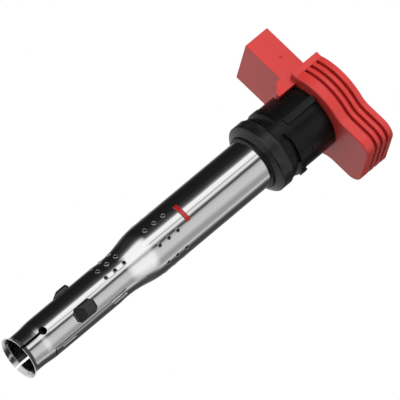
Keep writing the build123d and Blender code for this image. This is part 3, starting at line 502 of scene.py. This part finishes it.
def polished_steel():
    """Bright sheet outside; rougher inside, where painted shade darkens it."""
    tree, shader = finish("polished_steel", (0.86, 0.86, 0.865), 0.07, 1.0)
    lines = use(tree, LINES, Line_mm=0.5, Stretch=0.03, Wave_mm=13.0)
    haze = use(tree, DUST, Patch_mm=9.0, Amount=0.25)["Mask"]
    rough = span(tree, lines["Height"], 0.04, 0.1)
    rough = sum_node(tree, "ADD", rough, sum_node(tree, "MULTIPLY", haze, 0.2))
    rough = sum_node(tree, "ADD", rough, sum_node(tree, "MULTIPLY", lines["Scratch"], 0.12), True)
    tone = mix(tree, lines["Height"], STEEL_DULL, STEEL_BRIGHT)
    inside_shade = inside_shade_mask(tree)
    # Painted shade: the walls that face the axis take the dark inside colour.
    tree.links.new(mix(tree, inside_shade, tone, INSIDE_PAINTED_SHADE), shader.inputs["Base Color"])
    rough = sum_node(tree, "ADD", rough, sum_node(tree, "MULTIPLY", inside_shade, INSIDE_ROUGHNESS), True)
    tree.links.new(rough, shader.inputs["Roughness"])
    wave = relief(tree, shader, lines["Wave"], 0.11)
    relief(tree, shader, lines["Height"], 0.0012, wave)


polished_steel()
print("polished_steel uses", len(FINISHES["polished_steel"].node_tree.nodes), "nodes")

# %% [markdown]
# The head is moulded in a satin red plastic. Its skin is fine, its corners take a lighter tone
# that is partly wear and partly painted highlight, and it is slightly mottled where the melt
# cooled at different speeds. The barrel is a black glass-filled plastic with little shine. The
# boot's rubber has a faint sheen, and the black parts' edges are lighter, again partly wear and
# partly painted highlight. The seal's corners are paler in the same way, its pale dust patches
# are partly painted highlight, and the ring is smooth, glossy silicone.

# %% Plastics and rubbers
moulded("red_plastic", (0.67, 0.048, 0.042), (0.84, 0.17, 0.16), 0.4, size=0.5, depth=0.01,
        wear_and_highlight=0.7, dust=0.05, soft=0.6)
moulded("black_plastic", (0.005, 0.005, 0.0053), (0.05, 0.05, 0.053), 0.26, size=0.35,
        wear_and_highlight=0.9, dust=0.02, soft=0.25, Specular_IOR_Level=0.2)
moulded("black_rubber", (0.007, 0.0075, 0.008), (0.05, 0.053, 0.056), 0.26, size=0.6,
        wear_and_highlight=0.7, dust=0.03, soft=0.35, Specular_IOR_Level=0.6, Coat_Weight=0.35, Coat_Roughness=0.2)
# The seal's dust is raised so that its pale grey patches paint highlights as well as dust.
moulded("seal_rubber", (0.008, 0.008, 0.0083), (0.12, 0.12, 0.125), 0.27, size=0.5, depth=0.014,
        wear_and_highlight=1.2, dust=0.1, soft=0.6, Specular_IOR_Level=0.5)
moulded("red_silicone", (0.42, 0.012, 0.012), (0.7, 0.1, 0.08), 0.2, size=0.8, depth=0.004,
        wear_and_highlight=0.3, dust=0.0, soft=0.9, Coat_Weight=0.5)
moulded("case_plastic", (0.03, 0.03, 0.032), (0.1, 0.1, 0.1), 0.42)
moulded("bobbin_plastic", (0.6, 0.56, 0.44), (0.75, 0.72, 0.62), 0.4, wear_and_highlight=0.2)
moulded("moulding_compound", (0.03, 0.03, 0.034), (0.12, 0.12, 0.12), 0.6, size=0.2)
moulded("ceramic", (0.78, 0.75, 0.68), (0.9, 0.88, 0.84), 0.55, size=0.15, depth=0.02, wear_and_highlight=0.2)
print("finishes so far:", sorted(FINISHES))


# %% [markdown]
# The metals differ in how they were made: the contact and terminal are turned, so their lines
# circle the axis; strip and sheet metals carry long rolling lines; the spring is drawn wire.

# %% Metals
def rolled_metal(name, colour, dark, roughness, line=0.3, stretch=0.05, tarnish=0.3):
    """Sheet, strip or wire with long lines, tarnish in patches and bright edges."""
    tree, shader = finish(name, colour, roughness, 1.0)
    lines = use(tree, LINES, Line_mm=line, Stretch=stretch)
    dull = use(tree, DUST, Patch_mm=3.0, Amount=tarnish)["Mask"]
    worn = use(tree, WEAR, Amount=0.5)["Mask"]
    base = mix(tree, dull, colour, dark)
    base = mix(tree, worn, base, tuple(min(1.0, part * 1.2) for part in colour))
    tree.links.new(base, shader.inputs["Base Color"])
    tree.links.new(span(tree, lines["Height"], roughness - 0.08, roughness + 0.1), shader.inputs["Roughness"])
    relief(tree, shader, lines["Height"], 0.006)


def turned_metal(name, colour, dark, roughness, pitch=0.12):
    """Turned bar: a fine spiral of tool marks round the axis."""
    tree, shader = finish(name, colour, roughness, 1.0)
    rings = node(tree, "ShaderNodeTexWave", {"wave_type": "BANDS", "bands_direction": "Z"},
                 Vector=place_of(tree), Scale=wave_scale(pitch), Distortion=1.2, Detail=2.0)
    dull = use(tree, DUST, Patch_mm=2.5, Amount=0.4)["Mask"]
    tree.links.new(mix(tree, dull, colour, dark), shader.inputs["Base Color"])
    rough = span(tree, rings.outputs["Fac"], roughness - 0.06, roughness + 0.08)
    tree.links.new(rough, shader.inputs["Roughness"])
    relief(tree, shader, rings.outputs["Fac"], 0.004)


turned_metal("brass", (0.72, 0.5, 0.2), (0.36, 0.2, 0.07), 0.25)
rolled_metal("tinned_brass", (0.7, 0.67, 0.58), (0.4, 0.36, 0.28), 0.28)
rolled_metal("spring_steel", (0.52, 0.52, 0.53), (0.25, 0.24, 0.23), 0.3, line=0.1, stretch=1.0)
rolled_metal("nickel_caps", (0.66, 0.65, 0.61), (0.4, 0.38, 0.34), 0.22)
rolled_metal("core_steel", (0.3, 0.31, 0.34), (0.13, 0.12, 0.12), 0.42)
rolled_metal("spreader_aluminium", (0.76, 0.76, 0.77), (0.5, 0.5, 0.5), 0.34)
print("metals:", [name for name, made in FINISHES.items()
                  if made.node_tree.nodes["Principled BSDF"].inputs["Metallic"].default_value == 1])


# %% [markdown]
# The windings show the single turns of their wire under a clear enamel, with painted shade in
# the grooves between turns. The board is woven glass cloth under green lacquer. The casting
# resin is glossy, with small bubbles in it.

# %% Windings, board and resin
COPPER, COPPER_GAP_SHADE = (0.5, 0.19, 0.07), (0.13, 0.035, 0.012)
TURN_PITCH, CLOTH_PITCH = 0.42, 0.5      # mm
RESIN, BUBBLE = (0.035, 0.028, 0.022), (0.07, 0.055, 0.04)


def enamelled_copper():
    """Close turns of copper wire under clear enamel, with painted shade between the turns."""
    tree, shader = finish("enamelled_copper", COPPER, 0.3, 1.0, Coat_Weight=0.6, Coat_Roughness=0.12)
    turns = node(tree, "ShaderNodeTexWave",
                 {"wave_type": "BANDS", "bands_direction": "Z", "wave_profile": "SIN"},
                 Vector=place_of(tree), Scale=wave_scale(TURN_PITCH), Distortion=0.15)
    # Painted shade: the darker copper colour fills the grooves between turns.
    shade = ramp(tree, turns.outputs["Fac"], ((0.0, COPPER_GAP_SHADE), (0.6, COPPER)))
    tree.links.new(shade, shader.inputs["Base Color"])
    relief(tree, shader, turns.outputs["Fac"], 0.09)


def board():
    """Glass cloth and tracks under green lacquer."""
    tree, shader = finish("board", (0.03, 0.2, 0.08), 0.3, Coat_Weight=0.5, Coat_Roughness=0.15)
    weave = []
    for direction in ("X", "Y"):
        wave = node(tree, "ShaderNodeTexWave", {"wave_type": "BANDS", "bands_direction": direction},
                    Vector=place_of(tree), Scale=wave_scale(CLOTH_PITCH))
        weave.append(wave.outputs["Fac"])
    cloth = sum_node(tree, "MAXIMUM", *weave)
    tracks = node(tree, "ShaderNodeTexBrick", Vector=place_of(tree), Scale=260.0, Mortar_Size=0.06)
    lacquer = mix(tree, cloth, (0.012, 0.12, 0.045), (0.03, 0.22, 0.09))
    tree.links.new(mix(tree, tracks.outputs["Fac"], lacquer, (0.06, 0.32, 0.14)), shader.inputs["Base Color"])
    relief(tree, shader, cloth, 0.01)


def casting_resin():
    """Glossy dark resin with small bubbles."""
    tree, shader = finish("casting_resin", RESIN, 0.14, Coat_Weight=0.5)
    bubbles = node(tree, "ShaderNodeTexVoronoi", Vector=place_of(tree), Scale=420.0).outputs["Distance"]
    pits = node(tree, "ShaderNodeMapRange", Value=bubbles, From_Min=0.1, From_Max=0.22).outputs[0]
    tree.links.new(mix(tree, pits, BUBBLE, RESIN), shader.inputs["Base Color"])
    relief(tree, shader, pits, 0.05)


enamelled_copper()
board()
casting_resin()

for name, slot in SLOT_OF.items():
    NODES[name].data.materials.clear()
    NODES[name].data.materials.append(FINISHES[slot])
missing = sorted(set(SLOT_OF.values()) - set(FINISHES))
print(len(FINISHES), "finishes on", len(SLOT_OF), "nodes, without a finish:", missing)

# %% [markdown]
# ## Repeated pieces
# Three things repeat by a rule, so Geometry Nodes make them: the rolled lips of the small vent
# holes, the spring's coils and the turns of the primary winding. A tree gets its sizes through
# named inputs. Its result is turned into one plain mesh, because the finished piece has to
# carry its own vertices.

# %% Tree helpers
def new_tree(name, *inputs):
    """Geometry tree with named number inputs and one geometry output."""
    tree = bpy.data.node_groups.new(name, "GeometryNodeTree")
    for label in inputs:
        tree.interface.new_socket(label, in_out="INPUT", socket_type="NodeSocketFloat")
    tree.interface.new_socket("Geometry", in_out="OUTPUT", socket_type="NodeSocketGeometry")
    return tree, tree.nodes.new("NodeGroupInput").outputs


def sum_tree(tree, operation, first, second=0.0, third=0.0):
    """One sum on up to three values."""
    return node(tree, "ShaderNodeMath", {"operation": operation}, _0=first, _1=second, _2=third).outputs[0]


def round_bar(tree, path_curve, radius, sides):
    """Bar of round section along a curve, with closed ends if the curve is open."""
    section = node(tree, "GeometryNodeCurvePrimitiveCircle", Resolution=sides, Radius=radius).outputs[0]
    return node(tree, "GeometryNodeCurveToMesh", Curve=path_curve, Profile_Curve=section,
                Fill_Caps=True).outputs[0]


def close_tree(tree, shape, finish_name):
    """Ends a tree: smooth faces, real instances and a material."""
    smooth = node(tree, "GeometryNodeSetShadeSmooth", Geometry=shape).outputs[0]
    real = node(tree, "GeometryNodeRealizeInstances", Geometry=smooth).outputs[0]
    dressed = node(tree, "GeometryNodeSetMaterial", Geometry=real)
    dressed.inputs["Material"].default_value = FINISHES[finish_name]
    tree.links.new(dressed.outputs[0], tree.nodes.new("NodeGroupOutput").inputs[0])


def grow(name, trees):
    """Evaluates (tree, sizes) pairs and joins the results into one plain mesh object."""
    meshes = []
    for tree, sizes in trees:
        seed = bpy.data.objects.new(name + "_seed", bpy.data.meshes.new(name + "_seed"))
        bpy.context.scene.collection.objects.link(seed)
        modifier = seed.modifiers.new("nodes", "NODES")
        modifier.node_group = tree
        for item in tree.interface.items_tree:
            if item.in_out == "INPUT":
                modifier[item.identifier] = float(sizes[item.name])
        bpy.context.view_layer.update()
        evaluated = seed.evaluated_get(bpy.context.evaluated_depsgraph_get())
        meshes.append(bpy.data.meshes.new_from_object(evaluated))
        bpy.data.objects.remove(seed)
    shell = bmesh.new()
    for mesh in meshes:
        shell.from_mesh(mesh)
    bmesh.ops.recalc_face_normals(shell, faces=shell.faces)
    joined = meshes[0]
    shell.to_mesh(joined)
    shell.free()
    joined.name = name
    piece = bpy.data.objects.new(name, joined)
    bpy.context.scene.collection.objects.link(piece)
    print(name, "has", len(joined.polygons), "faces")
    return piece


# %% [markdown]
# A punched hole in thin sheet has a small rolled lip, which catches the light as a bright
# crescent. One tree lays out columns and rows of points on the tube and puts a ring on each,
# turned to face away from the axis. It is used for the eight columns above the taper and for
# the two groups of three columns below it.

# %% Hole lips
def column_rings():
    """Rings on the surface of an upright tube, in columns and rows."""
    tree, given = new_tree("hole_lips", "Columns", "Rows", "First angle", "Angle step", "Tube radius",
                           "First level", "Row pitch", "Ring radius", "Wire radius")
    count = sum_tree(tree, "MULTIPLY", given["Columns"], given["Rows"])
    points = node(tree, "GeometryNodeMeshLine", Count=count)
    index = tree.nodes.new("GeometryNodeInputIndex").outputs[0]
    column = sum_tree(tree, "FLOOR", sum_tree(tree, "DIVIDE", index, given["Rows"]))
    row = sum_tree(tree, "MODULO", index, given["Rows"])
    turn_by = sum_tree(tree, "MULTIPLY_ADD", column, given["Angle step"], given["First angle"])
    outward = node(tree, "ShaderNodeCombineXYZ", X=sum_tree(tree, "COSINE", turn_by),
                   Y=sum_tree(tree, "SINE", turn_by)).outputs[0]
    flat = node(tree, "ShaderNodeVectorMath", {"operation": "SCALE"}, _0=outward,
                Scale=given["Tube radius"]).outputs[0]
    lift = node(tree, "ShaderNodeCombineXYZ",
                Z=sum_tree(tree, "MULTIPLY_ADD", row, given["Row pitch"], given["First level"])).outputs[0]
    spot = node(tree, "ShaderNodeVectorMath", {"operation": "ADD"}, _0=flat, _1=lift).outputs[0]
    placed = node(tree, "GeometryNodeSetPosition", Geometry=points.outputs[0], Position=spot).outputs[0]
    ring = node(tree, "GeometryNodeCurvePrimitiveCircle", Resolution=20,
                Radius=given["Ring radius"]).outputs[0]
    lip = round_bar(tree, ring, given["Wire radius"], 8)
    facing_out = node(tree, "FunctionNodeAlignRotationToVector", {"axis": "Z"}, Vector=outward).outputs[0]
    lips = node(tree, "GeometryNodeInstanceOnPoints", Points=placed, Instance=lip,
                Rotation=facing_out).outputs[0]
    close_tree(tree, lips, "polished_steel")
    return tree


TAPER_LOW, TAPER_HIGH = 61.6 * MM, 73.7 * MM
HOLES_ABOVE, HOLES_BELOW = 4.1 * MM, 0.6 * MM        # nearest row of holes to the taper
UPPER_RADIUS, LOWER_RADIUS = 12.0 * MM, 9.7 * MM
HOLE_RADIUS, HOLE_PITCH, LIP_WIRE, LIP_SUNK = 0.85 * MM, 5.4 * MM, 0.13 * MM, 0.04 * MM
UPPER_HOLES = {"Columns": 8, "Rows": 3, "First angle": math.radians(22.5), "Angle step": math.radians(45),
               "Tube radius": UPPER_RADIUS - LIP_SUNK, "First level": TAPER_HIGH + HOLES_ABOVE,
               "Row pitch": HOLE_PITCH, "Ring radius": HOLE_RADIUS + LIP_WIRE, "Wire radius": LIP_WIRE}
LOWER_HOLES = dict(UPPER_HOLES, **{"Columns": 3, "Angle step": math.radians(30),
                                   "Tube radius": LOWER_RADIUS - LIP_SUNK,
                                   "First level": TAPER_LOW - HOLES_BELOW - 2 * HOLE_PITCH})
LOWER_GROUPS = (90, 210)     # bearing of the first column of each group
rings = column_rings()
hole_lips = grow("hole_lips", [(rings, UPPER_HOLES)] + [
    (rings, dict(LOWER_HOLES, **{"First angle": math.radians(start)})) for start in LOWER_GROUPS])
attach(hole_lips, "coil_body")

# %% [markdown]
# The contact spring is a drawn wire wound on a mandrel. Its pitch is closer at both ends, where
# it sits on the contact's flange and on the resistor's cap. A wave added to the rise of a
# plain helix gives that.

# %% Contact spring
def wound_wire():
    """Helix of round wire whose pitch closes up at both ends."""
    tree, given = new_tree("wound_wire", "Turns", "Steps", "Coil radius", "Bottom", "Length",
                           "Wire radius", "Close")
    line = node(tree, "GeometryNodeMeshLine", Count=given["Steps"])
    index = tree.nodes.new("GeometryNodeInputIndex").outputs[0]
    share = sum_tree(tree, "DIVIDE", index, sum_tree(tree, "SUBTRACT", given["Steps"], 1.0))
    angle = sum_tree(tree, "MULTIPLY", share, sum_tree(tree, "MULTIPLY", given["Turns"], math.tau))
    swing = sum_tree(tree, "SINE", sum_tree(tree, "MULTIPLY", share, math.tau))
    bend = sum_tree(tree, "MULTIPLY", swing, sum_tree(tree, "DIVIDE", given["Close"], math.tau))
    rise_by = sum_tree(tree, "SUBTRACT", share, bend)
    spot = node(tree, "ShaderNodeCombineXYZ",
                X=sum_tree(tree, "MULTIPLY", sum_tree(tree, "COSINE", angle), given["Coil radius"]),
                Y=sum_tree(tree, "MULTIPLY", sum_tree(tree, "SINE", angle), given["Coil radius"]),
                Z=sum_tree(tree, "MULTIPLY_ADD", rise_by, given["Length"], given["Bottom"])).outputs[0]
    placed = node(tree, "GeometryNodeSetPosition", Geometry=line.outputs[0], Position=spot).outputs[0]
    path_curve = node(tree, "GeometryNodeMeshToCurve", Mesh=placed).outputs[0]
    return tree, round_bar(tree, path_curve, given["Wire radius"], 10)


spring_low, spring_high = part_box("contact_spring")
SPRING_WIRE = 0.3 * MM
spring_tree, spring_body = wound_wire()
close_tree(spring_tree, spring_body, "spring_steel")
SPRING_TURNS, STEPS_PER_TURN = 6, 36
SPRING_SIZES = {"Turns": SPRING_TURNS, "Steps": SPRING_TURNS * STEPS_PER_TURN,
                "Coil radius": spring_high.x - SPRING_WIRE, "Bottom": spring_low.z + SPRING_WIRE,
                "Length": spring_high.z - spring_low.z - 2 * SPRING_WIRE,
                "Wire radius": SPRING_WIRE, "Close": 0.35}
contact_coils = grow("contact_coils", [(spring_tree, SPRING_SIZES)])
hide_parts("contact_spring")
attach(contact_coils, "coil_body")
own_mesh(contact_coils)

# %% [markdown]
# The primary winding is a few hundred turns of enamelled wire in two layers. The same tree winds
# it, with an even pitch, once for each layer, between the bobbin's cheeks.

# %% Primary winding
wire_low, wire_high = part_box("primary_winding")
LAYER_WIRE = 0.22 * MM
LAYERS, WINDING_STEPS = 2, 20
layer_tree, layer_body = wound_wire()
close_tree(layer_tree, layer_body, "enamelled_copper")
layers = []
turns = (wire_high.z - wire_low.z) / (2 * LAYER_WIRE) - 1
for layer in range(LAYERS):
    layers.append((layer_tree, {
        "Turns": turns, "Steps": int(turns * WINDING_STEPS),
        "Coil radius": wire_high.x - LAYER_WIRE * (1 + 2 * layer),
        "Bottom": wire_low.z + LAYER_WIRE, "Length": wire_high.z - wire_low.z - 2 * LAYER_WIRE,
        "Wire radius": LAYER_WIRE, "Close": 0.0}))
primary_turns = grow("primary_turns", layers)
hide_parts("primary_winding")
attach(primary_turns, "coil_body")
